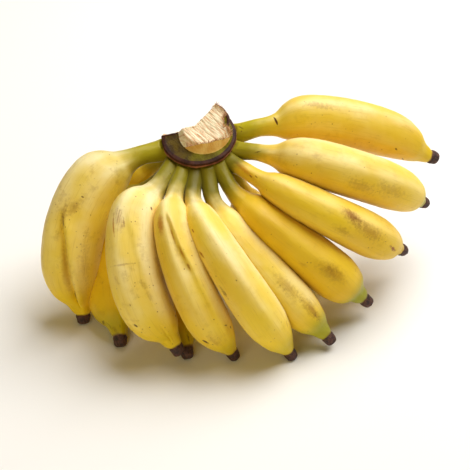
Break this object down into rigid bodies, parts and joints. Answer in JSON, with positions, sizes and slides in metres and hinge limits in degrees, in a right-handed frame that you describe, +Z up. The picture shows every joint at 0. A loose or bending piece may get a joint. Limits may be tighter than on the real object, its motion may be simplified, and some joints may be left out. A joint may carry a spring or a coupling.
{
  "type": "hand of bananas",
  "caption": "Hand of short, plump ripe bananas on one cut crown, standing claw-like on its dried tips: the fruits fan out in two rows and curve down to the table",
  "frame": {"origin": "middle of the bounding box in X and Y, on the table that the hand stands on", "axes": "+Z up; +X to the right of the hand, along its longest extent, where the raised fruits point; +Y to its back"},
  "size_m": [0.278, 0.1626, 0.1312],
  "materials": {
    "peel": "waxy satin, ripe yellow, green at the stalk, small brown marks",
    "dried_tip": "dry and rough, dark purplish brown",
    "crown_skin": "satin olive skin with a dark brown dried ridge",
    "crown_cut": "dry pale tan cut with torn fibres"
  },
  "bodies": {
    "root": {"crown": "crown_skin", "finger_01": "peel", "finger_02": "peel", "finger_03": "peel", "finger_04": "peel", "finger_05": "peel", "finger_06": "peel", "finger_07": "peel", "finger_08": "peel", "finger_09": "peel", "finger_10": "peel", "finger_11": "peel", "finger_12": "peel", "finger_13": "peel", "tip_01": "dried_tip", "tip_02": "dried_tip", "tip_03": "dried_tip", "tip_04": "dried_tip", "tip_05": "dried_tip", "tip_06": "dried_tip", "tip_07": "dried_tip", "tip_08": "dried_tip", "tip_09": "dried_tip", "tip_10": "dried_tip", "tip_11": "dried_tip", "tip_12": "dried_tip", "tip_13": "dried_tip"}
  },
  "joints": []
}
